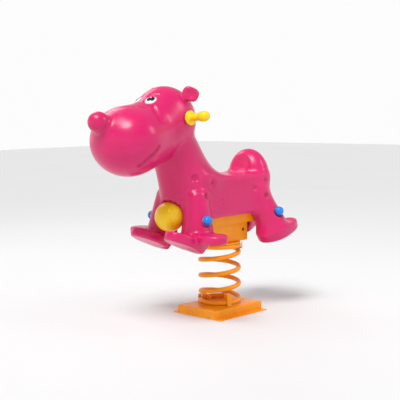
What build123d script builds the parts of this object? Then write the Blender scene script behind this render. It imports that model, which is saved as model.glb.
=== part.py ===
"""Spring rider: a hollow moulded animal on a steel coil spring and a folded steel base.

Millimetres. +Z is up, the animal faces -Y and its left side is +X.
The origin is on the spring's axis, on the ground under the base.
"""
import os
from math import atan2, cos, degrees, pi, radians, sin, tan

from build123d import *

# ---- base: a folded steel hat with flanges along its two long sides ----
base_width = 190.0
base_length = 254.0
base_height = 31.5
base_sheet = 3.0
base_flange = 27.0
base_bend = 6.0
corner_slit = 1.6
anchor_hole = 12.0
anchor_spacing = 170.0

# ---- coil spring ----
spring_outer = 160.0
wire = 17.0
pitch = 59.0
active_turns = 3.05
lower_turns = 1.35
closed_turns_low = 0.56
closed_turns_high = 0.33
ease_low = 0.29
ease_high = 0.6
coil_start_angle = 120.3
cut_gap = 0.4

# ---- spring plates and clamps ----
plate_thick = 4.0
plate_inset = 2.0
seat_gap = 0.4
clamp_width = 18.0
clamp_sheet = 4.0
clamp_gap = 1.5
clamp_foot = 26.0
clamp_bolt = 10.0
clamp_angle_tall = -22.0
clamp_angle_short = 200.0
clamp_angle_end = 44.0
clamp_angle_lead = 216.0
tall_clamp_rise = 38.0
short_clamp_rise = 20.5
end_clamp_rise = 18.0
lead_clamp_rise = 24.0

# ---- bracket box and saddle under the belly ----
bracket_width = 104.0
bracket_length = 196.0
bracket_sheet = 4.0
bracket_height = 127.0
bracket_hole = 13.0
bracket_hole_inset = 22.0
bracket_hole_height = 42.0
bracket_bolt = 12.0
bracket_bolt_x = 31.0
bracket_bolt_y = 35.0
saddle_width = 128.0
saddle_depth = 61.0
saddle_front = -228.0
saddle_rear = 212.0
saddle_sheet = 4.0

# ---- cross tubes that carry the legs ----
tube_outer = 33.7
tube_wall = 3.2
tube_height = 371.0
front_tube_y = -206.0
rear_tube_y = 180.0
tube_clearance = 0.5
leg_bolt = 12.0
pad_face_x = 132.0
pad_thick = 9.0
pad_radius = 27.0

# ---- body: moulded polyethylene skin ----
wall = 5.0
seat_height = 513.0
belly_height = 367.0
body_half_width = 98.0
body_front_y = -190.0
body_rear_y = 225.0
seat_edge = 18.0
belly_edge = 26.0
channel_gap = 1.0
backrest_y = 172.0
backrest_height = 602.0
recess_y = 108.0
recess_z = 548.0
rump_y = 190.0
rump_z = 430.0
leg_radius = 57.0
front_leg_x = 80.0
front_leg_y = -196.0
rear_leg_x = 84.0
rear_leg_y = 168.0
rear_leg_half_y = 72.0
leg_top = 436.0
shoulder_rise = 40.0
ankle_rise = 85.0
front_sole_y = -262.0
front_sole_z = 281.0
front_sole_x = 86.0
front_sole_half = 86.0
front_sole_tilt = -24.0
rear_sole_y = 228.0
rear_sole_z = 277.0
rear_sole_x = 104.0
rear_sole_half = 97.0
rear_sole_tilt = 15.5
sole_half_width = 56.0
sole_edge = 10.0
footrest_x = 168.0
footrest_y = -218.0
footrest_z = 312.0
footrest_half_x = 66.0
footrest_half_y = 48.0
footrest_half_z = 23.0
head_y = -270.0
head_z = 717.0
head_half_width = 104.0
head_radius = 120.0
cheek_y = -345.0
cheek_z = 665.0
cheek_radius = 112.0
muzzle_y = -440.0
muzzle_z = 650.0
muzzle_half_width = 139.0
muzzle_radius = 121.0
nose_y = -563.0
nose_z = 717.0
nose_radius = 36.0
ear_radius = 30.0
ear_thick = 15.0
ear_x = 93.0
ear_y = -230.0
ear_z = 806.0
ear_turn = 38.5

# ---- hand grips ----
handle_y = -248.0
handle_z = 715.0
handle_rise = 5.0
handle_bar = 18.0
handle_clearance = 0.15
handle_reach = 178.0
grip_wall = 3.5
guard_radius = 25.0
guard_thick = 8.0
knob_radius = 19.0

# ---- ball, caps and eyes ----
ball_radius = 53.0
ball_y = -252.0
ball_z = 379.0
ball_wall = 3.0
ball_gap = 0.5
ball_bolt_shank = 8.0
cap_radius = 17.0
cap_wall = 2.5
eye_x = 30.0
eye_y = -363.0
eye_z = 786.0
eye_turn = 36.0
eye_lift = 35.0
eye_length = 46.0
eye_height = 38.0
eye_proud = 1.2
eye_sunk = 1.5
eye_gap = 0.2
pupil_thick = 1.0
pupil_share = 0.62

# ---- worked out from the sizes above ----
coil_radius = (spring_outer - wire) / 2
anchor_x = (base_width + base_flange) / 2
coil_low_z = base_height + plate_thick + seat_gap + wire / 2
active_rise = pitch * active_turns
coil_high_z = coil_low_z + pitch * (ease_low + ease_high) / 2 + active_rise
top_plate_z = coil_high_z + wire / 2 + seat_gap
bolt_circle = coil_radius - wire / 2 - clamp_gap - clamp_sheet - clamp_bolt - 2.0
bracket_z = top_plate_z + plate_thick
saddle_top = bracket_z + bracket_height + saddle_sheet
saddle_low = saddle_top - saddle_depth
tube_radius = tube_outer / 2
tube_end_x = pad_face_x - pad_thick
nut_thick = 10.0
washer_thick = 2.5
bolt_head = 7.5
ball_back = saddle_front - 2.0
guard_x = head_half_width + 0.3
head_line = 90 + degrees(atan2(head_z - muzzle_z, head_y - muzzle_y))
nose_line = 90 + degrees(atan2(muzzle_z - nose_z, muzzle_y - nose_y))


def at(x, y, z, shape):
    """The shape moved to a point."""
    return Pos(x, y, z) * shape


def along_x(radius, x0, x1, y, z):
    """A round bar between two X stations."""
    return at((x0 + x1) / 2, y, z, Rot(0, 90, 0) * Cylinder(radius, abs(x1 - x0)))


def upright(radius, z0, z1, x=0.0, y=0.0):
    """A round bar between two heights."""
    return at(x, y, (z0 + z1) / 2, Cylinder(radius, z1 - z0))


def block(x0, x1, y0, y1, z0, z1):
    """A plain block between two corners."""
    return at((x0 + x1) / 2, (y0 + y1) / 2, (z0 + z1) / 2, Box(x1 - x0, y1 - y0, z1 - z0))


def both_sides(shape):
    """A shape and its mirror image across the animal's middle plane."""
    return [shape, mirror(shape, about=Plane.YZ)]


def hexagon(across, z0, z1, x=0.0, y=0.0):
    """A hexagonal prism, by its width across the flats."""
    sketch = RegularPolygon(across / 2, 6, major_radius=False)
    return at(x, y, z0, extrude(sketch, z1 - z0))


def make_base_box():
    half_x, half_y = base_width / 2, base_length / 2
    outer = block(-half_x, half_x, -half_y, half_y, 0, base_height)
    outer = fillet(outer.edges().group_by(Axis.Z)[-1], base_bend)
    inner_z = base_height - base_sheet
    inner = block(base_sheet - half_x, half_x - base_sheet, base_sheet - half_y, half_y - base_sheet, -1, inner_z)
    inner = fillet(inner.edges().group_by(Axis.Z)[-1], base_bend - base_sheet)
    box = outer - inner
    for side in (-1, 1):
        x0, x1 = sorted((side * (half_x - base_sheet / 2), side * (half_x + base_flange)))
        box += block(x0, x1, -half_y, half_y, 0, base_sheet)
        for end in (-1, 1):
            slit_x = side * (half_x - base_sheet - corner_slit / 2)
            slit = Box(corner_slit, 2 * base_sheet, 2 * (base_height - base_bend))
            box -= at(slit_x, end * half_y, 0, slit)
            box -= upright(anchor_hole / 2, -1, base_sheet + 1, side * anchor_x, end * anchor_spacing / 2)
    for x, y in clamp_bolt_points_low():
        box -= upright(clamp_bolt / 2 + 0.3, 0, base_height + 1, x, y)
    return box


def coil_point(turn, z):
    angle = radians(coil_start_angle + 360 * turn)
    return Vector(coil_radius * cos(angle), coil_radius * sin(angle), z)


def coil_tangent(turn, slope):
    angle = radians(coil_start_angle + 360 * turn)
    return Vector(-sin(angle), cos(angle), slope / (2 * pi * coil_radius))


def flat_turn(first, last, z):
    """A level stretch of wire between two turn counts."""
    middle = (first + last) / 2
    return ThreePointArc(coil_point(first, z), coil_point(middle, z), coil_point(last, z))


def open_turns(first, count, z):
    """Evenly pitched wire that starts at a turn count."""
    helix = Helix(pitch, pitch * count, coil_radius)
    return at(0, 0, z, Rot(0, 0, coil_start_angle + 360 * first) * helix)


def eased_arcs(first, count, z, slope_start, slope_end):
    """Wire whose rise per turn changes evenly, as short arcs that run on smoothly."""
    pieces = 5
    handle = 4 / 3 * tan(radians(90 * count / pieces)) * coil_radius
    stations = []
    for k in range(pieces + 1):
        share = k / pieces
        rise = count * (slope_start * share + (slope_end - slope_start) * share ** 2 / 2)
        turn = first + count * share
        slope = slope_start + (slope_end - slope_start) * share
        stations.append((coil_point(turn, z + rise), handle * coil_tangent(turn, slope)))
    pairs = zip(stations, stations[1:])
    return [Bezier(a, a + a_reach, b - b_reach, b) for (a, a_reach), (b, b_reach) in pairs]


def wire_along(edges, start, tangent):
    """The round wire swept along joined edges."""
    section = Plane(start, z_dir=tangent) * Circle(wire / 2)
    return sweep(section, path=Wire(edges), is_frenet=True)


def make_coil_lower():
    """Closed end turn, eased stretch and the lower open turns."""
    ease_start = closed_turns_low
    helix_start = ease_start + ease_low
    eased = eased_arcs(ease_start, ease_low, coil_low_z, 0, pitch)
    level = flat_turn(0, ease_start, coil_low_z)
    turns = open_turns(helix_start, lower_turns, coil_low_z + pitch * ease_low / 2)
    return wire_along([level, *eased, turns], coil_point(0, coil_low_z), coil_tangent(0, 0))


def make_coil_upper():
    """Upper open turns, eased stretch and the closed end turn."""
    kerf = cut_gap / (2 * pi * coil_radius)
    cut = closed_turns_low + ease_low + lower_turns + kerf
    cut_z = coil_low_z + pitch * (ease_low / 2 + lower_turns + kerf)
    count = active_turns - lower_turns - kerf
    ease_start = cut + count
    ease_z = cut_z + pitch * count
    level_start = ease_start + ease_high
    eased = eased_arcs(ease_start, ease_high, ease_z, pitch, 0)
    level = flat_turn(level_start, level_start + closed_turns_high, coil_high_z)
    turns = open_turns(cut, count, cut_z)
    return wire_along([turns, *eased, level], coil_point(cut, cut_z), coil_tangent(cut, pitch))


def clamp_bolt_points_low():
    return [polar(bolt_circle, clamp_angle_tall), polar(bolt_circle, clamp_angle_short)]


def clamp_bolt_points_high():
    return [polar(bolt_circle, clamp_angle_end), polar(bolt_circle, clamp_angle_lead)]


def polar(radius, angle):
    return radius * cos(radians(angle)), radius * sin(radians(angle))


def make_spring_plate(z, bolts, bracket_bolts):
    plate = upright(spring_outer / 2 - plate_inset, z, z + plate_thick)
    for x, y in bolts:
        plate -= upright(clamp_bolt / 2 + 0.3, z - 1, z + plate_thick + 1, x, y)
    for x, y in bracket_bolts:
        plate -= upright(bracket_bolt / 2 + 0.3, z - 1, z + plate_thick + 1, x, y)
    return plate


def make_clamp(rise, skirt):
    """A folded strap over an end turn: foot inside, bridge over the wire, leg outside."""
    inner = coil_radius - wire / 2 - clamp_gap
    outer = coil_radius + wire / 2 + clamp_gap
    half = clamp_width / 2
    top = rise + clamp_sheet
    foot = block(inner - clamp_foot, inner, -half, half, 0, clamp_sheet)
    inside_leg = block(inner - clamp_sheet, inner, -half, half, 0, top)
    bridge = block(inner - clamp_sheet, outer + clamp_sheet, -half, half, rise, top)
    outside_leg = block(outer, outer + clamp_sheet, -half, half, -skirt, top)
    strap = foot + inside_leg + bridge + outside_leg
    return strap - upright(clamp_bolt / 2 + 0.3, -1, clamp_sheet + 1, bolt_circle, 0)


def make_lower_clamp(rise, angle):
    """A clamp standing on the lower plate, its outside leg reaching down past the plate."""
    return at(0, 0, base_height + plate_thick, Rot(0, 0, angle) * make_clamp(rise, plate_thick - 1))


def make_upper_clamp(rise, angle):
    """A clamp hanging under the upper plate."""
    return at(0, 0, top_plate_z, Rot(0, 0, angle) * Rot(180, 0, 0) * make_clamp(rise, 0))


def make_bolt(shank, head_across, z0, z1, head_above):
    """A hexagon bolt between two heights, with its head outside that stretch."""
    bolt = upright(shank / 2, z0, z1)
    if head_above:
        return bolt + hexagon(head_across, z1, z1 + 0.62 * shank)
    return bolt + hexagon(head_across, z0 - 0.62 * shank, z0)


def make_nut(bore, across, z):
    nut = hexagon(across, z, z + 0.8 * bore)
    return nut - upright(bore / 2 + 0.1, z - 1, z + bore)


def copies(shape, points):
    return Compound(children=[at(x, y, 0, shape) for x, y in points])


def make_lower_clamp_bolts():
    under = base_height - base_sheet
    top = base_height + plate_thick + clamp_sheet + 1.6 * clamp_bolt
    return copies(make_bolt(clamp_bolt, 16, under, top, False), clamp_bolt_points_low())


def make_lower_clamp_nuts():
    seat = base_height + plate_thick + clamp_sheet
    return copies(make_nut(clamp_bolt, 16, seat), clamp_bolt_points_low())


def make_upper_clamp_bolts():
    under = top_plate_z - clamp_sheet
    top = bracket_z + bracket_sheet + 1.4 * clamp_bolt
    return copies(make_bolt(clamp_bolt, 16, under, top, False), clamp_bolt_points_high())


def make_upper_clamp_nuts():
    return copies(make_nut(clamp_bolt, 16, bracket_z + bracket_sheet), clamp_bolt_points_high())


def bracket_bolt_points():
    return [(-bracket_bolt_x, bracket_bolt_y), (bracket_bolt_x, -bracket_bolt_y)]


def make_bracket_bolts():
    top = bracket_z + bracket_sheet + 1.4 * bracket_bolt
    return copies(make_bolt(bracket_bolt, 19, top_plate_z, top, False), bracket_bolt_points())


def make_bracket_nuts():
    return copies(make_nut(bracket_bolt, 19, bracket_z + bracket_sheet), bracket_bolt_points())


def make_bracket_box():
    """A folded steel box, open at the top, closed by the saddle welded over it."""
    half_x, half_y = bracket_width / 2, bracket_length / 2
    top = bracket_z + bracket_height
    outer = block(-half_x, half_x, -half_y, half_y, bracket_z, top)
    outer = fillet(outer.edges().group_by(Axis.Z)[0], bracket_sheet)
    inset = bracket_sheet
    inner = block(inset - half_x, half_x - inset, inset - half_y, half_y - inset, bracket_z + inset, top + 1)
    box = outer - inner
    hole_y = half_y - bracket_hole_inset
    box -= along_x(bracket_hole / 2, -half_x - 1, half_x + 1, hole_y, bracket_z + bracket_hole_height)
    floor_top = bracket_z + bracket_sheet
    for x, y in clamp_bolt_points_high():
        box -= upright(clamp_bolt / 2 + 0.3, bracket_z - 1, floor_top + 1, x, y)
    for x, y in bracket_bolt_points():
        box -= upright(bracket_bolt / 2 + 0.3, bracket_z - 1, floor_top + 1, x, y)
    return box


def make_saddle():
    """An inverted steel channel under the belly that carries both cross tubes."""
    half = saddle_width / 2
    outer = block(-half, half, saddle_front, saddle_rear, saddle_low, saddle_top)
    outer = fillet(outer.edges().group_by(Axis.Z)[-1].filter_by(Axis.Y), saddle_sheet)
    inner_top = saddle_top - saddle_sheet
    inner = block(saddle_sheet - half, half - saddle_sheet, saddle_front - 1, saddle_rear + 1, 0, inner_top)
    saddle = outer - inner
    for y in (front_tube_y, rear_tube_y):
        saddle -= along_x(tube_radius + 0.05, -half - 1, half + 1, y, tube_height)
    return saddle


def make_cross_tube(y):
    """A steel tube with a threaded plug welded in each end."""
    tube = along_x(tube_radius, -tube_end_x, tube_end_x, y, tube_height)
    bore = along_x(tube_radius - tube_wall, nut_thick - tube_end_x, tube_end_x - nut_thick, y, tube_height)
    tapped = along_x(leg_bolt / 2 + 0.1, -tube_end_x - 1, tube_end_x + 1, y, tube_height)
    return tube - bore - tapped


def leg_points():
    return [(side, y) for y in (front_tube_y, rear_tube_y) for side in (-1, 1)]


def make_leg_bolts():
    """Four bolts through the leg pads into the cross tubes."""
    bolts = []
    for side, y in leg_points():
        face = pad_face_x + washer_thick
        shank = along_x(leg_bolt / 2, side * (tube_end_x - nut_thick), side * face, y, tube_height)
        turned = Rot(0, 90 * side, 0) * hexagon(19, 0, bolt_head)
        bolts.append(shank + at(side * face, y, tube_height, turned))
    return Compound(children=bolts)


def make_leg_washers():
    washers = []
    for side, y in leg_points():
        x0, x1 = side * pad_face_x, side * (pad_face_x + washer_thick)
        disc = along_x(cap_radius, x0, x1, y, tube_height)
        hole = along_x(leg_bolt / 2 + 0.3, x0 - side, x1 + side, y, tube_height)
        washers.append(disc - hole)
    return Compound(children=washers)


def make_bolt_cap(side, y):
    """A hollow round cap snapped over a leg bolt."""
    face = pad_face_x + washer_thick
    reach = bolt_head + 3.0
    cap = along_x(cap_radius, face, face + reach, 0, 0) + at(face + reach, 0, 0, Sphere(cap_radius))
    hollow = cap_radius - cap_wall
    room = along_x(hollow, face - 1, face + reach, 0, 0) + at(face + reach, 0, 0, Sphere(hollow))
    cap = (cap & block(face, face + 60, -30, 30, -30, 30)) - room
    if side < 0:
        cap = mirror(cap, about=Plane.YZ)
    return at(0, y, tube_height, cap)


def ellipsoid(half_x, half_y, half_z, x, y, z):
    return at(x, y, z, scale(Sphere(1), by=(half_x, half_y, half_z)))


def head_ball(half_x, radius, y, z, line):
    """A ball of the head, its poles on a line that leans in the animal's middle plane."""
    poled = Rot(line, 0, 0) * Rot(0, 0, -90) * Sphere(1)
    return at(0, y, z, scale(poled, by=(half_x, radius, radius)))


def head_balls(inset):
    """The round masses of the head, every one smaller by the inset."""
    cranium = head_ball(head_half_width - inset, head_radius - inset, head_y, head_z, head_line)
    cheeks = head_ball(cheek_radius - inset, cheek_radius - inset, cheek_y, cheek_z, head_line)
    muzzle = head_ball(muzzle_half_width - inset, muzzle_radius - inset, muzzle_y, muzzle_z, head_line)
    nose = head_ball(nose_radius - inset, nose_radius - inset, nose_y, nose_z, nose_line)
    return [cranium, cheeks, muzzle, nose]


def neck(inset):
    """Oval rings from the chest up into the head."""
    rings = [(398.0, -150.0, 88.0, 113.0), (480.0, -164.0, 90.0, 113.0), (545.0, -178.0, 92.0, 110.0)]
    rings += [(600.0, -214.0, 90.0, 100.0), (690.0, -254.0, 72.0, 80.0)]
    low, high = rings[0][0] + inset, rings[-1][0] - inset
    ovals = []
    for z, y, half_x, half_y in rings:
        oval = Ellipse(half_x - inset, half_y - inset)
        ovals.append(at(0, y, min(max(z, low), high), oval))
    return loft(ovals)


def torso(inset):
    """The flat-topped middle of the body."""
    half = body_half_width - inset
    front, rear = body_front_y + inset, body_rear_y - inset
    trunk = block(-half, half, front, rear, belly_height + inset, seat_height - inset)
    upper = trunk.edges().group_by(Axis.Z)[-1].filter_by(Axis.Y)
    trunk = fillet(upper, seat_edge - inset)
    lower = trunk.edges().group_by(Axis.Z)[0].filter_by(Axis.Y)
    return fillet(lower, belly_edge - inset)


def hind_masses(inset):
    """Backrest and rump."""
    rise = backrest_height - 500.0
    backrest = ellipsoid(90 - inset, 70 - inset, rise - inset, 0, backrest_y, 500)
    rump = ellipsoid(110 - inset, 95 - inset, 75 - inset, 0, rump_y, rump_z)
    return [backrest, rump]


def leg(x, y, half_x, half_y, sole, tilt, inset):
    """A leg: an oval column that flares down to a tilted oval sole, and a round shoulder."""
    sole_x, sole_y, sole_z, sole_half = sole
    normal = (0, -sin(radians(tilt)), cos(radians(tilt)))
    plane = Plane(origin=(sole_x, sole_y, sole_z), x_dir=(1, 0, 0), z_dir=normal)
    print_oval = Ellipse(sole_half_width - inset, sole_half - inset)
    column = Ellipse(half_x - inset, half_y - inset)
    rings = [plane.offset(inset) * print_oval, plane.offset(22) * print_oval]
    rings += [at(x, y, sole_z + ankle_rise, column), at(x, y, leg_top - inset, column)]
    shoulder = ellipsoid(half_x - 3 - inset, half_y - 3 - inset, shoulder_rise - inset, x, y, leg_top - 6)
    return [loft(rings), shoulder]


def front_leg(inset):
    sole = (front_sole_x, front_sole_y, front_sole_z, front_sole_half)
    column = leg(front_leg_x, front_leg_y, leg_radius, leg_radius, sole, front_sole_tilt, inset)
    halves = footrest_half_x - inset, footrest_half_y - inset, footrest_half_z - inset
    return column + [ellipsoid(*halves, footrest_x, footrest_y, footrest_z)]


def rear_leg(inset):
    sole = (rear_sole_x, rear_sole_y, rear_sole_z, rear_sole_half)
    return leg(rear_leg_x, rear_leg_y, leg_radius, rear_leg_half_y, sole, rear_sole_tilt, inset)


def ear():
    """One drooping ear, a flattened round petal on the side of the head."""
    petal = Rot(0, 0, ear_turn) * scale(Sphere(1), by=(ear_radius, ear_thick / 2, ear_radius))
    return at(ear_x, ear_y, ear_z, petal)


def joined(shapes):
    """Shapes fused one after another."""
    whole = shapes[0]
    for shape in shapes[1:]:
        whole = whole + shape
    return whole


def body_masses(inset):
    """Every mass of the animal, smaller all round by the inset."""
    masses = [torso(inset), neck(inset)] + hind_masses(inset)
    for mass in front_leg(inset) + rear_leg(inset):
        masses += both_sides(mass)
    return masses + head_balls(inset)


def ball_room(grow):
    """The hollow under the chest that the ball sits in, cut short of the saddle."""
    room = at(0, ball_y, ball_z, Sphere(ball_radius + ball_gap + grow))
    return room & block(-90, 90, ball_y - 90, ball_back + ball_gap + grow, ball_z - 90, ball_z + 90)


def saddle_room(grow):
    """The channel along the belly that takes the saddle."""
    half = saddle_width / 2 + channel_gap + grow
    front, rear = saddle_front - channel_gap - grow, saddle_rear + channel_gap + grow
    return block(-half, half, front, rear, belly_height - 60, saddle_top + channel_gap + grow)


def tube_room(y, grow):
    """The blind tunnel for a cross tube, and the shallow round recess outside each pad."""
    end = tube_end_x + grow
    tunnel = along_x(tube_radius + tube_clearance + grow, -end, end, y, tube_height)
    recess_floor = pad_face_x - grow
    recess = [along_x(pad_radius + grow, side * recess_floor, side * 190, y, tube_height) for side in (-1, 1)]
    return [tunnel] + recess


def handle_path_bar(radius, reach):
    """A bar bent upwards at the animal's middle plane."""
    half = at(0, handle_y, handle_z, Rot(0, 90 - handle_rise, 0) * at(0, 0, reach / 2, Cylinder(radius, reach)))
    elbow = at(0, handle_y, handle_z, Sphere(radius))
    return joined(both_sides(half) + [elbow])


def eye_prism(grow, share):
    """An upright oval bar square to the brow, through one eye."""
    oval = extrude(Ellipse(share * eye_length / 2 + grow, share * eye_height / 2 + grow), 30, both=True)
    return at(eye_x, eye_y, eye_z, Rot(0, 0, eye_turn) * Rot(90 - eye_lift, 0, 0) * oval)


def brow(grow):
    """The head's surface around the eyes, grown outwards."""
    cranium, cheeks = head_balls(-grow)[:2]
    return cranium + cheeks


def make_body_shell():
    """The hollow animal in one moulding."""
    outer = joined(body_masses(0) + both_sides(ear()))
    recess = ellipsoid(60, 45, 42, 0, recess_y, recess_z)
    outer -= recess
    hollow = joined(body_masses(wall))
    kept = [saddle_room(wall), ball_room(wall), ellipsoid(60 + wall, 45 + wall, 42 + wall, 0, recess_y, recess_z)]
    cuts = [saddle_room(0), ball_room(0)]
    for y in (front_tube_y, rear_tube_y):
        kept += tube_room(y, wall)
        cuts += tube_room(y, 0)
        bolt_hole = along_x(leg_bolt / 2 + 0.5, -pad_face_x - 5, pad_face_x + 5, y, tube_height)
        cuts.append(bolt_hole)
    for room in kept:
        hollow -= room
    shell = outer - hollow
    for room in cuts:
        shell -= room
    shell -= handle_path_bar(handle_bar / 2 + handle_clearance, handle_reach)
    shell -= upright(ball_bolt_shank / 2 + 0.3, ball_z, ball_z + ball_radius + 4 * wall, 0, ball_y)
    seat = eye_prism(eye_gap, 1.0) - brow(-eye_sunk)
    for room in both_sides(seat):
        shell -= room
    return shell


def make_handle_bar():
    return handle_path_bar(handle_bar / 2, handle_reach - 8)


def make_grip(side):
    """Guard, sleeve and round end knob in one moulding, over one end of the bar."""
    axis_end = handle_reach - 5
    sleeve = at(0, 0, (guard_x + axis_end) / 2, Cylinder(handle_bar / 2 + grip_wall, axis_end - guard_x))
    guard = at(0, 0, guard_x + guard_thick / 2, Cylinder(guard_radius, guard_thick))
    guard = fillet(guard.edges().group_by(Axis.Z)[-1], 3)
    knob = at(0, 0, axis_end, Sphere(knob_radius))
    bore = at(0, 0, (guard_x + handle_reach - 7) / 2, Cylinder(handle_bar / 2 + 0.05, handle_reach - 7 - guard_x + 4))
    grip = at(0, handle_y, handle_z, Rot(0, 90 - handle_rise, 0) * (sleeve + guard + knob - bore))
    if side < 0:
        grip = mirror(grip, about=Plane.YZ)
    return grip


def make_ball():
    """A hollow ball, flat and open where it meets the saddle."""
    ball = Sphere(ball_radius) - Sphere(ball_radius - ball_wall)
    ball = at(0, ball_y, ball_z, ball) & block(-90, 90, ball_y - 90, ball_back, ball_z - 90, ball_z + 90)
    return ball - upright(ball_bolt_shank / 2 + 0.3, ball_z, ball_z + 90, 0, ball_y)


def make_ball_bolt():
    """The bolt that hangs the ball from the chest skin, with its nut below."""
    top = ball_z + ball_radius + ball_gap + wall + 1.5
    low = ball_z + ball_radius - ball_wall
    shank = upright(ball_bolt_shank / 2, low - 12, top, 0, ball_y)
    return shank + hexagon(13, top, top + 5, 0, ball_y) + hexagon(13, low - 8, low - 1.2, 0, ball_y)


def make_eye(side):
    """A white oval let into the brow."""
    eye = (eye_prism(0, 1.0) & brow(eye_proud)) - brow(-eye_sunk)
    return eye if side > 0 else mirror(eye, about=Plane.YZ)


def make_pupil(side):
    """The dark oval on the eye."""
    pupil = (eye_prism(0, pupil_share) & brow(eye_proud + pupil_thick)) - brow(eye_proud)
    return pupil if side > 0 else mirror(pupil, about=Plane.YZ)


def nodes():
    """Every separate piece by name."""
    low_points, high_points = clamp_bolt_points_low(), clamp_bolt_points_high()
    return {
        "base_box": make_base_box(),
        "lower_spring_plate": make_spring_plate(base_height, low_points, []),
        "lower_clamp_tall": make_lower_clamp(tall_clamp_rise, clamp_angle_tall),
        "lower_clamp_short": make_lower_clamp(short_clamp_rise, clamp_angle_short),
        "lower_clamp_bolts": make_lower_clamp_bolts(),
        "lower_clamp_nuts": make_lower_clamp_nuts(),
        "coil_spring_lower": make_coil_lower(),
        "coil_spring_upper": make_coil_upper(),
        "upper_spring_plate": make_spring_plate(top_plate_z, high_points, bracket_bolt_points()),
        "upper_clamp_end": make_upper_clamp(end_clamp_rise, clamp_angle_end),
        "upper_clamp_lead": make_upper_clamp(lead_clamp_rise, clamp_angle_lead),
        "upper_clamp_bolts": make_upper_clamp_bolts(),
        "upper_clamp_nuts": make_upper_clamp_nuts(),
        "bracket_bolts": make_bracket_bolts(),
        "bracket_nuts": make_bracket_nuts(),
        "bracket_box": make_bracket_box(),
        "saddle": make_saddle(),
        "cross_tube_front": make_cross_tube(front_tube_y),
        "cross_tube_rear": make_cross_tube(rear_tube_y),
        "leg_bolts": make_leg_bolts(),
        "leg_washers": make_leg_washers(),
        "bolt_cap_front_left": make_bolt_cap(1, front_tube_y),
        "bolt_cap_front_right": make_bolt_cap(-1, front_tube_y),
        "bolt_cap_rear_left": make_bolt_cap(1, rear_tube_y),
        "bolt_cap_rear_right": make_bolt_cap(-1, rear_tube_y),
        "body_shell": make_body_shell(),
        "handle_bar": make_handle_bar(),
        "grip_left": make_grip(1),
        "grip_right": make_grip(-1),
        "ball": make_ball(),
        "ball_bolt": make_ball_bolt(),
        "eye_left": make_eye(1),
        "eye_right": make_eye(-1),
        "pupil_left": make_pupil(1),
        "pupil_right": make_pupil(-1),
    }


os.makedirs("parts", exist_ok=True)
for name, shape in nodes().items():
    export_step(shape, f"parts/{name}.step")
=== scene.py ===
"""Looks of the playground spring rider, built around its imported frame.

Metres. +Z is up, the animal faces -Y and its left side is +X. The sizes given
below in millimetres are turned into metres by the MM factor where they are used.
"""
import math

import bmesh
import bpy
import numpy as np
from mathutils import Matrix, Vector


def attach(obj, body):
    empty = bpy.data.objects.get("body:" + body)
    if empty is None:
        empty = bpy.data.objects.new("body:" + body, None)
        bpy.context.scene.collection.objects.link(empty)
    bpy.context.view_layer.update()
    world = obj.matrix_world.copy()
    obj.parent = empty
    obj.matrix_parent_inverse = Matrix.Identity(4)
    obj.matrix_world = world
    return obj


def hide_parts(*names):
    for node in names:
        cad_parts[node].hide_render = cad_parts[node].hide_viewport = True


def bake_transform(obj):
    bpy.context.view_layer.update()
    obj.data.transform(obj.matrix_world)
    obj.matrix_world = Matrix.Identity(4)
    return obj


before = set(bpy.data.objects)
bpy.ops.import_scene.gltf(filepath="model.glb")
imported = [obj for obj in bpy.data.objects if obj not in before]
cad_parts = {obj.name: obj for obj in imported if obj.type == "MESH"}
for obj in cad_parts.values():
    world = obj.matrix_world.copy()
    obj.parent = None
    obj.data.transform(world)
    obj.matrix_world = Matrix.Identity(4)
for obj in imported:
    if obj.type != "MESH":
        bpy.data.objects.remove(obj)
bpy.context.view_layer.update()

# ---------------------------------------------------------------------------
# The animal: one hollow moulding of pink polyethylene, turned slowly in a hot
# mould, so every edge is soft and every hollow is shallow. It is drawn here as
# plain masses that run into each other with rounded fillets.
# ---------------------------------------------------------------------------
MM = 0.001


def oval_ball(p, centre, radii):
    """Distance to an ellipsoid."""
    q = p - np.array(centre)
    near = np.sqrt(((q / radii) ** 2).sum(1)) + 1e-9
    far = np.sqrt(((q / np.square(radii)) ** 2).sum(1)) + 1e-9
    return near * (near - 1.0) / far


def limb(p, start, end, start_radius, end_radius):
    """Distance to a round bar whose radius changes evenly from end to end."""
    start, end = np.array(start, float), np.array(end, float)
    along = np.clip(((p - start) @ (end - start)) / ((end - start) @ (end - start)), 0, 1)
    gap = np.linalg.norm(p - start - along[:, None] * (end - start), axis=1)
    return gap - (start_radius + along * (end_radius - start_radius))


def soft_trunk(p, low, high, corner, edge):
    """Distance to a block with broad upright corners and smaller top and bottom edges."""
    low, high = np.array(low, float), np.array(high, float)
    q = np.abs(p - (low + high) / 2) - (high - low) / 2
    plan = q[:, :2] + corner
    sides = np.hypot(*np.maximum(plan, 0).T) + np.minimum(plan.max(1), 0) - corner + edge
    top = q[:, 2] + edge
    return np.hypot(np.maximum(sides, 0), np.maximum(top, 0)) + np.minimum(np.maximum(sides, top), 0) - edge


def oval_pad(p, centre, tilt, half_width, half_length, half_thick, edge):
    """Distance to a flat oval pad with a rounded rim, tilted about the side-to-side line."""
    q = p - np.array(centre)
    c, s = math.cos(math.radians(tilt)), math.sin(math.radians(tilt))
    length, height = q[:, 1] * c + q[:, 2] * s, q[:, 2] * c - q[:, 1] * s
    rim = (np.hypot(q[:, 0] / half_width, length / half_length) - 1) * half_width + edge
    face = np.abs(height) - half_thick + edge
    return np.hypot(np.maximum(rim, 0), np.maximum(face, 0)) + np.minimum(np.maximum(rim, face), 0) - edge


def melt(a, b, fillet):
    """Two masses joined with a fillet."""
    overlap = np.maximum(fillet - np.abs(a - b), 0) / fillet
    return np.minimum(a, b) - overlap * overlap * fillet / 4


def press(a, b, fillet):
    """One shape pressed into another, with a rounded lip."""
    return -melt(-a, b, fillet)


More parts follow.
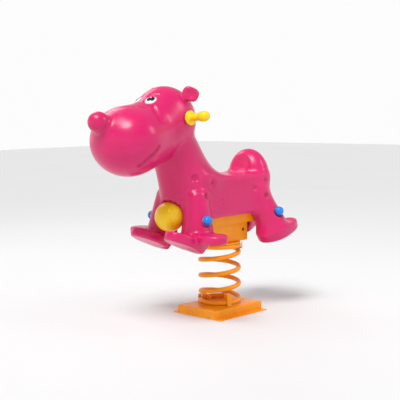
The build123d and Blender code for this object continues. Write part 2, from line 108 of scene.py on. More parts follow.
def neck(p):
    """Oval rings that lean forward from the chest up into the head."""
    height = p[:, 2]

    def eased(sizes):
        """Sizes between the rings, rounded off where the slope changes."""
        rings = (380, 440, 480, 545, 600, 660, 720)
        return sum(np.interp(height + shift, rings, sizes) for shift in range(-36, 37, 12)) / 7

    centre = eased((-150, -156, -163, -180, -212, -240, -262))
    half_x = eased((84, 86, 87, 88, 86, 80, 70))
    half_y = eased((108, 112, 112, 108, 98, 88, 76))
    wall = (np.hypot(p[:, 0] / half_x, (p[:, 1] - centre) / half_y) - 1) * half_x
    ends = np.abs(height - 540) - 160
    return np.maximum(wall, ends)


def head(p):
    """Crown, cheeks and muzzle in one potato shape, with a button nose."""
    crown = oval_ball(p, (0, -270, 717), (102, 118, 118))
    cheeks = oval_ball(p, (0, -350, 668), (104, 104, 104))
    muzzle = oval_ball(p, (0, -440, 650), (137, 119, 119))
    mass = melt(melt(crown, cheeks, 40.0), muzzle, 46.0)
    return melt(mass, oval_ball(p, (0, -562, 716), (35, 36, 35)), 22.0)


SPOTS = (((91, -211, 513), (0.88, -0.47, 0.12), 16, 8), ((107, -138, 495), (0.99, 0.08, -0.11), 11, 6.5),
         ((113, -179, 453), (0.99, 0.08, 0.13), 11, 6.5), ((105, 92, 462), (0.94, -0.29, 0.16), 12, 6.5),
         ((104, 151, 487), (0.96, 0.09, 0.27), 11, 6.5), ((119, 136, 433), (0.97, -0.08, 0.21), 11, 6.5))
SMILE = ((134, -418, 634), (132, -436, 616), (121, -454, 595), (108, -464, 580), (95, -473, 571))
FOLD = ((62, -376, 762), (73, -377, 754), (89, -381, 738), (100, -376, 723))
LID = ((17, -381, 783), (14, -361, 797), (22, -343, 806), (43, -331, 804))
SNOUT_LINES = (((23, -455, 768), (34, -451, 767), (43, -445, 765)), ((41, -424, 768), (50, -419, 765), (60, -412, 760)))
EYE_CENTRE, EYE_FACING, EYE_LONG = (32.5, -361.0, 785.5), (0.369, -0.538, 0.757), (0.407, 0.847, 0.339)


def groove(p, points, radius):
    """Distance to a thin bar that follows a line of points."""
    return np.minimum.reduce([limb(p, a, b, radius, radius) for a, b in zip(points, points[1:])])


def eye_axes():
    """The eye's long, short and facing directions."""
    facing = Vector(EYE_FACING).normalized()
    long = (Vector(EYE_LONG) - facing * Vector(EYE_LONG).dot(facing)).normalized()
    return np.array((long, facing.cross(long), facing))


def wrinkled(mass, side):
    """The head with its eye sockets, lids, snout lines, cheek folds and smile."""
    local = (side - np.array(EYE_CENTRE)) @ eye_axes().T
    mass = melt(mass, oval_ball(local, (0, 0, -6), (27, 23, 9)), 7.0)
    mass = press(mass, oval_ball(local, (0, 0, 4), (23.5, 19.5, 9)), 2.0)
    mass = press(mass, groove(side, LID, 2.4), 2.5)
    mass = press(mass, groove(side, FOLD, 5.0), 14.0)
    mass = press(mass, groove(side, SMILE, 7.0), 2.5)
    for line in SNOUT_LINES:
        mass = press(mass, groove(side, line, 4.2), 3.0)
    return mass


def fittings(body, side):
    """The body with its dimples and with room for the saddle, the ball and the bolt caps."""
    for centre, facing, width, depth in SPOTS:
        radius = (width * width + depth * depth) / (2 * depth)
        away = side - np.array(centre)
        along = away @ np.array(facing)
        across = np.sqrt(np.maximum((away ** 2).sum(1) - along ** 2, 0))
        body = melt(body, np.hypot(across - width, along) - 2.6, 3.0)
        centre = np.array(centre) + (radius - depth - 3.5) * np.array(facing)
        body = press(body, np.linalg.norm(side - centre, axis=1) - radius, 2.0)
    for y in (-206, 180):
        pad = np.maximum(np.hypot(side[:, 1] - y, side[:, 2] - 371) - 23, 131.5 - side[:, 0])
        body = press(body, pad, 2.0)
    channel = np.maximum(np.maximum(side[:, 0] - 65, side[:, 2] - 395.5), np.maximum(-229 - side[:, 1], side[:, 1] - 213))
    body = press(body, channel, 4.0)
    return press(body, np.linalg.norm(side - np.array((0, -252, 379)), axis=1) - 54, 3.0)


def ear(side):
    """A drooping round petal, cupped towards the front."""
    turn = math.radians(38.5)
    q = side - np.array((93, -232, 806))
    across, facing = q[:, 0] * math.cos(turn) + q[:, 1] * math.sin(turn), q[:, 1] * math.cos(turn) - q[:, 0] * math.sin(turn)
    local = np.stack((across, facing, q[:, 2]), 1)
    lean = math.radians(24)
    wide = local[:, 0] * math.cos(lean) - local[:, 2] * math.sin(lean)
    tall = local[:, 2] * math.cos(lean) + local[:, 0] * math.sin(lean)
    rim = ((np.abs(wide / 29) ** 2.7 + np.abs(tall / 24) ** 2.7) ** (1 / 2.7) - 1) * 24 + 6
    face = np.abs(local[:, 1]) - 3
    petal = np.hypot(np.maximum(rim, 0), np.maximum(face, 0)) + np.minimum(np.maximum(rim, face), 0) - 6
    return press(petal, oval_ball(local, (3, -18, 0), (22, 14, 19)), 6.0)


def animal(points):
    """Distance from points, in millimetres, to the animal's outer skin."""
    p = points.copy()
    side = p.copy()
    side[:, 0] = np.abs(side[:, 0])
    trunk = soft_trunk(p, (-97, -200, 367), (97, 212, 513), 62, 13)
    lift = np.clip((p[:, 2] - 430) / 100, 0, 1)
    body = melt(trunk, neck(p), 24 + 52 * lift * lift * (3 - 2 * lift))
    backrest = oval_ball(p, (0, 168, 500), (88, 62, 102))
    body = melt(body, backrest, 22.0)
    body = press(body, oval_ball(p, (0, 88, 561), (72, 42, 50)), 9.0)
    front_leg = limb(side, (72, -190, 440), (87, -202, 325), 44, 57)
    front_foot = oval_pad(side, (86, -264, 297), -24.0, 56, 85, 17, 7)
    footrest = oval_pad(side, (168, -217, 311), 0.0, 65, 47, 15, 8)
    front = melt(melt(front_leg, front_foot, 30.0), footrest, 14.0)
    rear_leg = limb(side, (62, 132, 440), (94, 182, 325), 48, 57)
    rear_foot = oval_pad(side, (102, 222, 293), 15.5, 55, 95, 17, 7)
    rear = melt(rear_leg, rear_foot, 46.0)
    body = melt(melt(body, front, 15.0), rear, 28.0)
    body = fittings(body, side)
    face = wrinkled(head(p), side)
    return melt(melt(body, face, 14.0), ear(side), 8.0)


def masses():
    """The same masses as closed balls and bars, the stuff that the skin is drawn over."""
    mesh = bmesh.new()

    def ball(centre, radii):
        place = Matrix.Translation(Vector(centre)) @ Matrix.Diagonal((*radii, 1))
        bmesh.ops.create_icosphere(mesh, subdivisions=4, radius=1, matrix=place)

    def bar(start, end, start_radius, end_radius):
        start, end = Vector(start), Vector(end)
        turn = (end - start).to_track_quat("Z", "Y").to_matrix().to_4x4()
        place = Matrix.Translation((start + end) / 2) @ turn
        bmesh.ops.create_cone(mesh, cap_ends=True, segments=48, radius1=start_radius, radius2=end_radius,
                              depth=(end - start).length, matrix=place)

    trunk = Matrix.Translation((0, 5, 440)) @ Matrix.Diagonal((176, 390, 136, 1))
    bmesh.ops.create_cube(mesh, size=1, matrix=trunk)
    bar((0, -152, 385), (0, -176, 545), 84, 86)
    bar((0, -176, 540), (0, -250, 690), 86, 72)
    ball((0, 168, 500), (86, 60, 100))
    for centre, radii in (((0, -270, 717), (101, 117, 117)), ((0, -350, 668), (103, 103, 103)),
                          ((0, -440, 650), (136, 118, 118)), ((0, -563, 717), (35, 35, 35))):
        ball(centre, radii)
    for side in (-1, 1):
        bar((side * 66, -188, 470), (side * 85, -202, 300), 44, 57)
        bar((side * 62, 132, 460), (side * 96, 186, 300), 47, 56)
        for x, y, z, tilt, half_length in ((86, -264, 297, -24.0, 82), (102, 222, 293, 15.5, 92)):
            place = Matrix.Translation((side * x, y, z)) @ Matrix.Rotation(math.radians(tilt), 4, "X")
            pad = place @ Matrix.Diagonal((53, half_length, 1, 1))
            bmesh.ops.create_cone(mesh, cap_ends=True, segments=64, radius1=1, radius2=1, depth=30, matrix=pad)
        ball((side * 170, -217, 312), (63, 45, 21))
        petal = Matrix.Translation((side * 93, -232, 806)) @ Matrix.Rotation(math.radians(side * 38.5), 4, "Z")
        bmesh.ops.create_icosphere(mesh, subdivisions=4, radius=1, matrix=petal @ Matrix.Diagonal((30, 9, 29, 1)))
    return mesh


def settle(points):
    """Points moved onto the animal's skin along its steepest slope."""
    for _ in range(5):
        distance = animal(points)
        slope = np.stack([animal(points + step) - animal(points - step) for step in np.eye(3)], 1) / 2
        steepness = (slope ** 2).sum(1) + 1e-6
        points = points - slope * np.clip(distance / steepness, -12, 12)[:, None]
    return points


def biggest_island(mesh):
    """Only the outer skin: small closed leftovers inside it are dropped."""
    unseen, islands = set(mesh.verts), []
    while unseen:
        stack, island = [unseen.pop()], []
        while stack:
            vert = stack.pop()
            island.append(vert)
            for edge in vert.link_edges:
                other = edge.other_vert(vert)
                if other in unseen:
                    unseen.remove(other)
                    stack.append(other)
        islands.append(island)
    islands.sort(key=len)
    for island in islands[:-1]:
        bmesh.ops.delete(mesh, geom=island, context="VERTS")


def link(name, mesh, smooth=True):
    """A finished bmesh, already in metres, as a named object at the origin."""
    data = bpy.data.meshes.new(name)
    mesh.to_mesh(data)
    mesh.free()
    data.polygons.foreach_set("use_smooth", [smooth] * len(data.polygons))
    piece = bpy.data.objects.new(name, data)
    bpy.context.scene.collection.objects.link(piece)
    return piece


def place_points(mesh, points):
    for vert, point in zip(mesh.verts, points):
        vert.co = point


def moulded_skin(voxel):
    """The masses wrapped in one even skin, which then settles onto the soft shape."""
    wrapped = link("wrap", masses())
    wrap = wrapped.modifiers.new("wrap", "REMESH")
    wrap.mode, wrap.voxel_size = "VOXEL", voxel
    skin = bpy.data.meshes.new_from_object(wrapped.evaluated_get(bpy.context.evaluated_depsgraph_get()))
    bpy.data.objects.remove(wrapped)
    mesh = bmesh.new()
    mesh.from_mesh(skin)
    bpy.data.meshes.remove(skin)
    biggest_island(mesh)
    for _ in range(3):
        place_points(mesh, settle(np.array([vert.co for vert in mesh.verts])))
        bmesh.ops.smooth_vert(mesh, verts=mesh.verts, factor=0.5, use_axis_x=True, use_axis_y=True, use_axis_z=True)
    place_points(mesh, settle(np.array([vert.co for vert in mesh.verts])))
    bmesh.ops.recalc_face_normals(mesh, faces=mesh.faces)
    bmesh.ops.scale(mesh, vec=(MM, MM, MM), verts=mesh.verts)
    return mesh


class Amount:
    """A number that varies over a surface. Arithmetic on it adds Math nodes."""

    def __init__(self, finish, socket):
        self.finish, self.socket = finish, socket

    def maths(self, operation, *values):
        return self.finish.node("ShaderNodeMath", {"operation": operation}, dict(enumerate(values)))

    def __add__(self, other):
        return self.maths("ADD", self, other)

    __radd__ = __add__

    def __sub__(self, other):
        return self.maths("SUBTRACT", self, other)

    def __rsub__(self, other):
        return self.maths("SUBTRACT", other, self)

    def __mul__(self, other):
        return self.maths("MULTIPLY", self, other)

    __rmul__ = __mul__


class Finish:
    """A material built from named nodes around one Principled shader."""

    def __init__(self, name, **constants):
        self.material = bpy.data.materials.new(name)
        self.material.use_nodes = True
        self.tree = self.material.node_tree
        self.shader = self.tree.nodes["Principled BSDF"]
        for socket, value in constants.items():
            self.shader.inputs[socket.replace("_", " ")].default_value = value

    def node(self, kind, settings, inputs, output=0):
        made = self.tree.nodes.new(kind)
        for key, value in settings.items():
            if key == "stops":
                ramp = made.color_ramp.elements
                for spot, (where, colour) in enumerate(value):
                    stop = ramp[spot] if spot < 2 else ramp.new(where)
                    stop.position, stop.color = where, colour
            else:
                setattr(made, key, value)
        for key, value in inputs.items():
            self.feed(made.inputs[key], value)
        return Amount(self, made.outputs[output])

    def feed(self, socket, value):
        if isinstance(value, Amount):
            self.tree.links.new(value.socket, socket)
        else:
            socket.default_value = value

    def place(self):
        """Where a point lies on the piece."""
        return self.node("ShaderNodeTexCoord", {}, {}, "Object")

    def noise(self, size, detail=3.0, rough=0.5):
        """Cloudy variation from 0 to 1 with patches about this many metres across."""
        where = self.place()
        inputs = {"Vector": where, "Scale": 1 / size, "Detail": detail, "Roughness": rough}
        return self.node("ShaderNodeTexNoise", {}, inputs, "Fac")

    def mix(self, amount, first, second):
        """Two colours mixed."""
        inputs = {0: amount, 6: first, 7: second}
        return self.node("ShaderNodeMix", {"data_type": "RGBA"}, inputs, 2)

    def bump(self, height, depth, under=None):
        """Relief of this depth in metres, on top of another relief."""
        inputs = {"Height": height, "Distance": depth, "Strength": 1.0}
        if under is not None:
            inputs["Normal"] = under
        return self.node("ShaderNodeBump", {}, inputs)

    def rises(self, amount, low, high):
        """0 below low, 1 above high and even between."""
        inputs = {"Value": amount, "From Min": low, "From Max": high}
        return self.node("ShaderNodeMapRange", {"clamp": True}, inputs)

    def wear(self, **channels):
        for socket, value in channels.items():
            self.feed(self.shader.inputs[socket.replace("_", " ")], value)
        return self.material


def height_above(finish):
    """How far a point is above the ground, in metres."""
    return finish.node("ShaderNodeSeparateXYZ", {}, {0: finish.place()}, "Z")


def moulded_pink():
    """Polyethylene pink: a soft even gloss, a faint ripple from the mould, dull scuffs, paler sun-worn patches, painted
    shade in hollows and creases and a painted highlight along ridges and rims.
    """
    pink = Finish("moulded_pink_polyethylene", Coat_Weight=0.12, Coat_Roughness=0.10, Specular_IOR_Level=0.38)
    patches = pink.rises(pink.noise(0.16), 0.42, 0.75)
    colour = pink.mix(patches, (0.64, 0.009, 0.125, 1), (0.69, 0.016, 0.150, 1))
    specks = pink.rises(pink.noise(0.004, 2.0), 0.62, 0.78)
    colour = pink.mix(specks * 0.10, colour, (0.50, 0.012, 0.09, 1))
    scuffs = pink.rises(pink.noise(0.02, 6.0, 0.7), 0.60, 0.72)
    colour = pink.mix(scuffs * 0.07, colour, (0.85, 0.25, 0.36, 1))
    painted_light_curvature = pink.node("ShaderNodeNewGeometry", {}, {}, "Pointiness")
    # Painted shade: hollows and creases (low pointiness) are darkened towards the dark crimson of shaded pink.
    colour = pink.mix((1 - pink.rises(painted_light_curvature, 0.40, 0.485)) * 0.55, colour, (0.22, 0.003, 0.028, 1))
    # Painted highlight: ridges and rims (high pointiness) are lightened to a paler pink.
    colour = pink.mix(pink.rises(painted_light_curvature, 0.52, 0.60) * 0.30, colour, (0.86, 0.09, 0.25, 1))
    ripple = pink.bump(pink.noise(0.05, 1.0), 0.0012)
    peel = pink.bump(pink.noise(0.0022, 2.0), 0.00007, ripple)
    rough = pink.noise(0.03, 4.0) * 0.12 + scuffs * 0.12 + 0.24
    return pink.wear(Base_Color=colour, Roughness=rough, Normal=peel)


animal_body = link("animal_body", moulded_skin(4.0))
animal_body.data.materials.append(moulded_pink())
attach(animal_body, "rider")
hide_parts("body_shell")

# ---------------------------------------------------------------------------
# The eyes: thin ovals of white vinyl with a black oval, printed and pressed
# into the moulding's shallow sockets. Each black oval has a pale blue painted highlight at its top.
# ---------------------------------------------------------------------------
EYE_HALF_LONG, EYE_HALF_SHORT, EYE_DOME = 21.0, 17.0, 5.0


def domed_oval(name, half_long, half_short, rise, sink, shift, mirrored):
    """A thin convex oval that sits on the eye's plane."""
    mesh = bmesh.new()
    bmesh.ops.create_uvsphere(mesh, u_segments=48, v_segments=24, radius=1)
    below = [vert for vert in mesh.verts if vert.co.z < -0.05]
    bmesh.ops.delete(mesh, geom=below, context="VERTS")
    rim = [edge for edge in mesh.edges if edge.is_boundary]
    lower = bmesh.ops.extrude_edge_only(mesh, edges=rim)["geom"]
    dropped = [item for item in lower if isinstance(item, bmesh.types.BMVert)]
    bmesh.ops.translate(mesh, verts=dropped, vec=(0, 0, -sink / rise))
    bmesh.ops.holes_fill(mesh, edges=[edge for edge in mesh.edges if edge.is_boundary], sides=0)
    bmesh.ops.scale(mesh, verts=mesh.verts, vec=(half_long, half_short, rise))
    bmesh.ops.translate(mesh, verts=mesh.verts, vec=shift)
    axes = Matrix(eye_axes().tolist()).transposed().to_4x4()
    place = Matrix.Diagonal((MM, MM, MM, 1)) @ Matrix.Translation(Vector(EYE_CENTRE)) @ axes
    bmesh.ops.transform(mesh, verts=mesh.verts, matrix=place)
    if mirrored:
        bmesh.ops.scale(mesh, verts=mesh.verts, vec=(-1, 1, 1))
    bmesh.ops.recalc_face_normals(mesh, faces=mesh.faces)
    return link(name, mesh)


def eye_white():
    """Glossy white with a little grime."""
    white = Finish("white_eye_vinyl", Coat_Weight=0.5, Coat_Roughness=0.05)
    grime = white.rises(white.noise(0.006, 5.0), 0.45, 0.80)
    colour = white.mix(grime * 0.35, (0.80, 0.82, 0.85, 1), (0.52, 0.50, 0.50, 1))
    return white.wear(Base_Color=colour, Roughness=white.noise(0.004) * 0.15 + 0.14)


def eye_black(side):
    """Glossy black with one pale blue painted highlight near the top."""
    black = Finish("black_eye_vinyl_" + side, Coat_Weight=0.6, Coat_Roughness=0.04)
    flip = -1 if side == "right" else 1
    glint = Vector(EYE_CENTRE) + Vector((eye_axes()[0] * 5.0 + eye_axes()[1] * 7.0 + eye_axes()[2] * 5.5).tolist())
    where = black.place()
    spot = (glint.x * MM * flip, glint.y * MM, glint.z * MM)
    gap = black.node("ShaderNodeVectorMath", {"operation": "DISTANCE"}, {0: where, 1: spot}, "Value")
    # Painted highlight: a pale blue spot near the top of the black oval stands in for a reflection.
    painted_highlight_mask = 1 - black.rises(gap, 0.0026, 0.0038)
    dust = black.rises(black.noise(0.003, 4.0), 0.55, 0.8)
    colour = black.mix(dust * 0.12, (0.006, 0.006, 0.008, 1), (0.20, 0.18, 0.19, 1))
    colour = black.mix(painted_highlight_mask, colour, (0.62, 0.78, 0.95, 1))
    return black.wear(Base_Color=colour, Roughness=black.noise(0.004) * 0.12 + 0.10)


white_vinyl = eye_white()
for side in ("left", "right"):
    mirrored = side == "right"
    white = domed_oval("eye_white_" + side, EYE_HALF_LONG, EYE_HALF_SHORT, EYE_DOME, 7.0, (0, 0, 0), mirrored)
    white.data.materials.append(white_vinyl)
    black = domed_oval("eye_black_" + side, 15.0, 12.5, 3.4, 4.0, (1.5, 1.5, 2.9), mirrored)
    black.data.materials.append(eye_black(side))
    for piece, node, slot_name in ((white, "eye_" + side, "white_vinyl"), (black, "pupil_" + side, "black_vinyl")):
        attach(piece, "rider")
        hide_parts(node)


# ---------------------------------------------------------------------------
# The hand grips: yellow plastic sleeves pushed on the two ends of one steel
# bar that runs through the head. A flat guard keeps the hand off the cheek.
# ---------------------------------------------------------------------------
GRIP_PROFILE = ((0, 104.6), (22, 104.6), (25, 106.4), (25, 110.6), (22.5, 112.6), (13.2, 113.4), (12.4, 116),
                (12.9, 119), (12.3, 122), (12.9, 125), (12.3, 128), (12.9, 131), (12.3, 134), (12.9, 137),
                (12.3, 140), (12.9, 143), (12.3, 146), (12.6, 150), (13.6, 154), (16.6, 158.4), (17.6, 165),
                (18.1, 172), (17.2, 180), (14.2, 187), (9.2, 191.2), (3.6, 192.8), (0, 193))


def turned(profile, steps=72):
    """A closed shape spun once round the Z line, from its half outline."""
    mesh = bmesh.new()
    verts = [mesh.verts.new((radius, 0, along)) for radius, along in profile]
    edges = [mesh.edges.new(pair) for pair in zip(verts, verts[1:])]
    bmesh.ops.spin(mesh, geom=verts + edges, cent=(0, 0, 0), axis=(0, 0, 1), angle=2 * math.pi, steps=steps,
                   use_merge=True, use_duplicate=False)
    bmesh.ops.remove_doubles(mesh, verts=mesh.verts, dist=0.01)
    bmesh.ops.recalc_face_normals(mesh, faces=mesh.faces)
    return mesh


def yellow_plastic(name):
    """Injection moulded yellow: even gloss, fine scratches and handling dirt."""
    yellow = Finish(name, Coat_Weight=0.15, Coat_Roughness=0.08, Specular_IOR_Level=0.4)
    dirt = yellow.rises(yellow.noise(0.012, 5.0, 0.6), 0.52, 0.78)
    colour = yellow.mix(yellow.noise(0.05), (0.96, 0.62, 0.006, 1), (1.0, 0.68, 0.008, 1))
    colour = yellow.mix(dirt * 0.05, colour, (0.70, 0.40, 0.02, 1))
    relief = yellow.bump(yellow.noise(0.0016, 2.0), 0.00006)
    return yellow.wear(Base_Color=colour, Roughness=yellow.noise(0.01, 4.0) * 0.18 + 0.20, Normal=relief)


grip_yellow = yellow_plastic("moulded_yellow_grips")
for side, sign in (("left", 1), ("right", -1)):
    mesh = turned(GRIP_PROFILE)
    place = Matrix.Translation((0, -248, 715)) @ Matrix.Rotation(math.radians(85), 4, "Y")
    bmesh.ops.transform(mesh, verts=mesh.verts, matrix=Matrix.Diagonal((MM, MM, MM, 1)) @ place)
    bmesh.ops.scale(mesh, verts=mesh.verts, vec=(sign, 1, 1))
    bmesh.ops.recalc_face_normals(mesh, faces=mesh.faces)
    grip = link("hand_grip_" + side, mesh)
    grip.data.materials.append(grip_yellow)
    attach(grip, "rider")
    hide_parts("grip_" + side)


# ---------------------------------------------------------------------------
# The ball on the chest: two yellow plastic half shells that meet in a fine
# parting line. Its cut back is bolted flat against the saddle's front.
# ---------------------------------------------------------------------------
BALL_RADIUS, BALL_CUT = 53.0, 22.0
rim_angle, seam_angle, seam_depth = math.asin(BALL_CUT / BALL_RADIUS), -0.35, 0.7
ball_profile = [(0, BALL_CUT), (BALL_RADIUS * math.cos(rim_angle) - 1.0, BALL_CUT)]
for step in range(60):
    angle = rim_angle - 0.02 - (rim_angle - 0.02 + math.pi / 2) * step / 60
    radius = BALL_RADIUS - seam_depth * max(0, 1 - abs(angle - seam_angle) / 0.03)
    ball_profile.append((radius * math.cos(angle), radius * math.sin(angle)))
ball_profile.append((0, -BALL_RADIUS))
mesh = turned(ball_profile, 96)
bmesh.ops.transform(mesh, verts=mesh.verts, matrix=Matrix.Diagonal((MM, MM, MM, 1)) @ Matrix.Translation((0, -252, 379))
                    @ Matrix.Rotation(math.radians(-90), 4, "X"))
bmesh.ops.recalc_face_normals(mesh, faces=mesh.faces)
chest_ball = link("chest_ball", mesh)
chest_ball.data.materials.append(yellow_plastic("moulded_yellow_ball"))
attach(chest_ball, "rider")
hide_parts("ball")


# ---------------------------------------------------------------------------
# The four bolt caps: blue plastic domes snapped over the ends of the cross
# tubes' bolts, each in a shallow round seat on the legs.
# ---------------------------------------------------------------------------
CAP_PROFILE = ((0, 134.6), (16.4, 134.6), (17, 135.4), (17, 140), (16.4, 145.5), (14.2, 150.4), (10.6, 153.8), (5.6, 155.6), (0, 156))


def blue_plastic():
    """Glossy blue of cloudy tone with a little dirt."""
    blue = Finish("moulded_blue_caps", Coat_Weight=0.2, Coat_Roughness=0.08, Specular_IOR_Level=0.4)
    colour = blue.mix(blue.noise(0.015, 4.0), (0.002, 0.200, 0.76, 1), (0.004, 0.26, 0.86, 1))
    dirt = blue.rises(blue.noise(0.005, 5.0), 0.56, 0.8)
    colour = blue.mix(dirt * 0.3, colour, (0.05, 0.12, 0.28, 1))
    relief = blue.bump(blue.noise(0.0015, 2.0), 0.00006)
    return blue.wear(Base_Color=colour, Roughness=blue.noise(0.008, 4.0) * 0.2 + 0.16, Normal=relief)


cap_blue = blue_plastic()
for name, sign, y in (("front_left", 1, -206), ("front_right", -1, -206), ("rear_left", 1, 180), ("rear_right", -1, 180)):
    mesh = turned(CAP_PROFILE, 64)
    turn = Matrix.Translation((0, y, 371)) @ Matrix.Rotation(math.radians(90), 4, "Y")
    bmesh.ops.transform(mesh, verts=mesh.verts, matrix=Matrix.Diagonal((sign * MM, MM, MM, 1)) @ turn)
    bmesh.ops.recalc_face_normals(mesh, faces=mesh.faces)
    cap = link("cap_" + name, mesh)
    cap.data.materials.append(cap_blue)
    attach(cap, "rider")
    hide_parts("bolt_cap_" + name)


# ---------------------------------------------------------------------------
# The coil spring: one 17 mm round spring-steel bar, wound hot and powder
# coated orange. It is drawn in three lengths that meet end to end, with
# closed turns at the bottom and at the top.
# ---------------------------------------------------------------------------
COIL_RADIUS, WIRE_RADIUS, PITCH, COIL_START = 71.5, 8.5, 59.0, 120.3
COIL_LOW, COIL_HIGH = 44.4, 250.6
LOW_FLAT, LOW_EASE, OPEN_END, HIGH_EASE, COIL_END = 0.56, 0.85, 3.90, 4.50, 4.83


def coil_height(turn):
    """How high the middle of the bar is after this many turns."""
    if turn < LOW_FLAT:
        return COIL_LOW
    if turn < LOW_EASE:
        share = (turn - LOW_FLAT) / (LOW_EASE - LOW_FLAT)
        return COIL_LOW + PITCH * (LOW_EASE - LOW_FLAT) * share * share / 2
    rise = COIL_LOW + PITCH * (LOW_EASE - LOW_FLAT) / 2
    if turn < OPEN_END:
        return rise + PITCH * (turn - LOW_EASE)
    share = min((turn - OPEN_END) / (HIGH_EASE - OPEN_END), 1)
    return rise + PITCH * (OPEN_END - LOW_EASE) + PITCH * (HIGH_EASE - OPEN_END) * (share - share * share / 2)


def coil_length(name, first, last):
    """The round bar between two turn counts, spun step by step."""
    mesh = bmesh.new()
    steps = round((last - first) * 72)
    turn_step = (last - first) / steps
    start = math.radians(COIL_START + 360 * first)
    ring = bmesh.ops.create_circle(mesh, segments=28, radius=WIRE_RADIUS)["verts"]
    stand = Matrix.Rotation(start, 4, "Z") @ Matrix.Translation((COIL_RADIUS, 0, coil_height(first)))
    bmesh.ops.transform(mesh, verts=ring, matrix=stand @ Matrix.Rotation(math.radians(90), 4, "X"))
    geom = list(mesh.verts) + list(mesh.edges)
    mesh.faces.new(ring)
    for step in range(steps):
        lift = coil_height(first + (step + 1) * turn_step) - coil_height(first + step * turn_step)
        spun = bmesh.ops.spin(mesh, geom=geom, cent=(0, 0, 0), axis=(0, 0, 1), dvec=(0, 0, lift),
                              angle=math.radians(360 * turn_step), steps=1, use_duplicate=False)
        geom = spun["geom_last"]
    bmesh.ops.holes_fill(mesh, edges=[edge for edge in mesh.edges if edge.is_boundary], sides=0)
    bmesh.ops.remove_doubles(mesh, verts=mesh.verts, dist=0.01)
    bmesh.ops.recalc_face_normals(mesh, faces=mesh.faces)
    bmesh.ops.scale(mesh, verts=mesh.verts, vec=(MM, MM, MM))
    return link(name, mesh)


def powder_coat(name, dark, light, chips=1.0):
    """Thick orange powder coat: orange-peel skin, grime low down and a few rusty chips."""
    coat = Finish(name, Coat_Weight=0.05, Coat_Roughness=0.15, Specular_IOR_Level=0.35)
    colour = coat.mix(coat.rises(coat.noise(0.05), 0.35, 0.7), dark, light)
    low = 1 - coat.rises(height_above(coat), 0.0, 0.06)
    grime = coat.rises(coat.noise(0.02, 6.0, 0.65), 0.48, 0.72)
    colour = coat.mix(grime * (low * 0.28 + 0.07), colour, (0.36, 0.13, 0.02, 1))
    worn = coat.rises(coat.noise(0.006, 6.0, 0.7), 0.68, 0.72)
    colour = coat.mix(worn * 0.40 * chips, colour, (0.22, 0.08, 0.02, 1))
    peel = coat.bump(coat.noise(0.0018, 2.0), 0.00010)
    rough = coat.noise(0.01, 4.0) * 0.18 + worn * 0.3 + 0.24
    return coat.wear(Base_Color=colour, Roughness=rough, Normal=peel)


ORANGE_DARK, ORANGE_LIGHT = (0.94, 0.315, 0.002, 1), (0.98, 0.370, 0.003, 1)
spring_orange = powder_coat("orange_spring_coat", ORANGE_DARK, ORANGE_LIGHT)


def turn_at(height):
    """The turn count where the open coil passes this height."""
    return LOW_EASE + (height - COIL_LOW - PITCH * (LOW_EASE - LOW_FLAT) / 2) / PITCH


LENGTHS = (("spring_bar_low", 0.0, turn_at(132.7), "base", "spring_lower", 0.050, 0.118, "coil_spring_lower"),
           ("spring_bar_middle", turn_at(132.7), turn_at(200), "spring_lower", "spring_upper", 0.142, 0.188, "coil_spring_upper"),
           ("spring_bar_high", turn_at(200), COIL_END, "spring_upper", "rider", 0.212, 0.245, "coil_spring_upper"))
for name, first, last, below, above, start, end, node in LENGTHS:
    bar = coil_length(name, first, last)
    bar.data.materials.append(spring_orange)
    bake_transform(bar)
    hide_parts(node)


# ---------------------------------------------------------------------------
# The folded and bent steel: base, spring plates, clamps, bracket, saddle and
# cross tubes, all powder coated, with the clamps' bolts and nuts. The other bolts, nuts and washers and the handle bar
# are bright zinc.
# ---------------------------------------------------------------------------
def bright_zinc(name):
    """Zinc plate: soft grey metal with cloudy spangle and a little white bloom."""
    zinc = Finish(name, Metallic=0.9)
    colour = zinc.mix(zinc.noise(0.006, 4.0), (0.42, 0.43, 0.45, 1), (0.62, 0.62, 0.62, 1))
    bloom = zinc.rises(zinc.noise(0.004, 6.0), 0.58, 0.75)
    colour = zinc.mix(bloom * 0.5, colour, (0.30, 0.25, 0.20, 1))
    return zinc.wear(Base_Color=colour, Roughness=zinc.noise(0.003, 4.0) * 0.25 + bloom * 0.2 + 0.28)


plate_orange = powder_coat("orange_plate_coat", ORANGE_DARK, ORANGE_LIGHT, 0.7)
zinc_bright = bright_zinc("bright_zinc")
COATED = ("base_box", "lower_spring_plate", "lower_clamp_tall", "lower_clamp_short", "upper_spring_plate", "upper_clamp_end",
          "upper_clamp_lead", "bracket_box", "saddle", "cross_tube_front", "cross_tube_rear",
          "lower_clamp_bolts", "lower_clamp_nuts", "upper_clamp_bolts", "upper_clamp_nuts")
PLATED = ("bracket_bolts", "bracket_nuts", "leg_bolts", "leg_washers", "ball_bolt", "handle_bar")
for names, material in ((COATED, plate_orange), (PLATED, zinc_bright)):
    for name in names:
        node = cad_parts[name]
        node.data.materials.clear()
        node.data.materials.append(material)


# ---------------------------------------------------------------------------
# The room: a plain pale floor, soft light from
# large panels, and the camera.
# ---------------------------------------------------------------------------
def pale_room():
    mesh = bmesh.new()
    bmesh.ops.create_grid(mesh, x_segments=1, y_segments=1, size=14)
    room = link("pale_floor", mesh, smooth=False)
    paint = Finish("pale_floor_paint", Specular_IOR_Level=0.2)
    tone = paint.mix(paint.noise(0.8), (0.76, 0.76, 0.77, 1), (0.79, 0.79, 0.79, 1))
    room.data.materials.append(paint.wear(Base_Color=tone, Roughness=paint.noise(0.5) * 0.1 + 0.7))


pale_room()

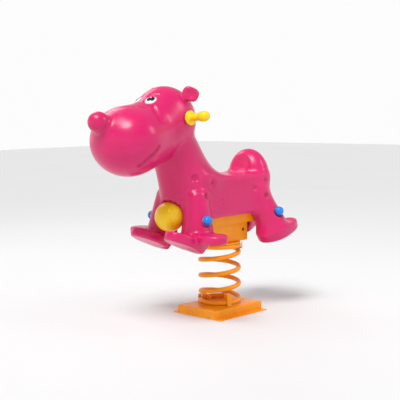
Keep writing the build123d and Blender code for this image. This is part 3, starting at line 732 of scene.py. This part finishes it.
world = bpy.data.worlds.new("soft_sky")
world.use_nodes = True
sky = world.node_tree
direction = sky.nodes.new("ShaderNodeTexCoord")
parts = sky.nodes.new("ShaderNodeSeparateXYZ")
fade = sky.nodes.new("ShaderNodeMapRange")
for socket, value in (("From Min", 0.16), ("From Max", 0.45), ("To Min", 0.98), ("To Max", 0.40)):
    fade.inputs[socket].default_value = value
sky.links.new(direction.outputs["Generated"], parts.inputs[0])
sky.links.new(parts.outputs["Z"], fade.inputs["Value"])
sky.links.new(fade.outputs[0], sky.nodes["Background"].inputs["Strength"])
sky.nodes["Background"].inputs["Color"].default_value = (1.0, 1.0, 1.0, 1)
bpy.context.scene.world = world
bpy.context.scene.view_settings.view_transform = "Standard"


def panel(name, place, target, size, power, colour=(1, 1, 1)):
    """A soft square light that points at a spot."""
    data = bpy.data.lights.new(name, "AREA")
    data.shape, data.size, data.energy, data.color = "SQUARE", size, power, colour
    light = bpy.data.objects.new(name, data)
    aim = (Vector(target) - Vector(place)).to_track_quat("-Z", "Y")
    light.matrix_world = Matrix.Translation(place) @ aim.to_matrix().to_4x4()
    bpy.context.scene.collection.objects.link(light)


lamp = bpy.data.lights.new("high_soft_sun", "SUN")
lamp.energy, lamp.angle = 2.2, math.radians(24)
soft_sun = bpy.data.objects.new("high_soft_sun", lamp)
soft_sun.matrix_world = Matrix.Rotation(math.radians(22), 4, "Z") @ Matrix.Rotation(math.radians(32), 4, "X")
bpy.context.scene.collection.objects.link(soft_sun)
panel("key_panel", (-0.3, -1.6, 3.0), (0, -0.1, 0.5), 1.0, 14)
panel("left_panel", (-2.2, 0.3, 2.4), (0, -0.1, 0.45), 1.2, 10)
panel("right_panel", (1.9, 1.3, 2.2), (0, 0.0, 0.45), 0.9, 12)

FOCUS, CAMERA_TURN, CAMERA_TILT, CAMERA_AWAY, CAMERA_HEIGHT = 81.0, 43.5, 5.6, 3.3258, 0.7451
CAMERA_YAW, CAMERA_ROLL = 1.2, -0.8
heading = math.radians(CAMERA_TURN + CAMERA_YAW)
place = Vector((CAMERA_AWAY * math.sin(math.radians(CAMERA_TURN)), -CAMERA_AWAY * math.cos(math.radians(CAMERA_TURN)), CAMERA_HEIGHT))
level = Matrix.Rotation(heading, 4, "Z") @ Matrix.Rotation(math.radians(90 - CAMERA_TILT), 4, "X")
lens = bpy.data.cameras.new("main_camera")
lens.lens, lens.sensor_width = FOCUS, 36.0
camera = bpy.data.objects.new("main_camera", lens)
camera.matrix_world = Matrix.Translation(place) @ level @ Matrix.Rotation(math.radians(CAMERA_ROLL), 4, "Z")
bpy.context.scene.collection.objects.link(camera)
bpy.context.scene.camera = camera
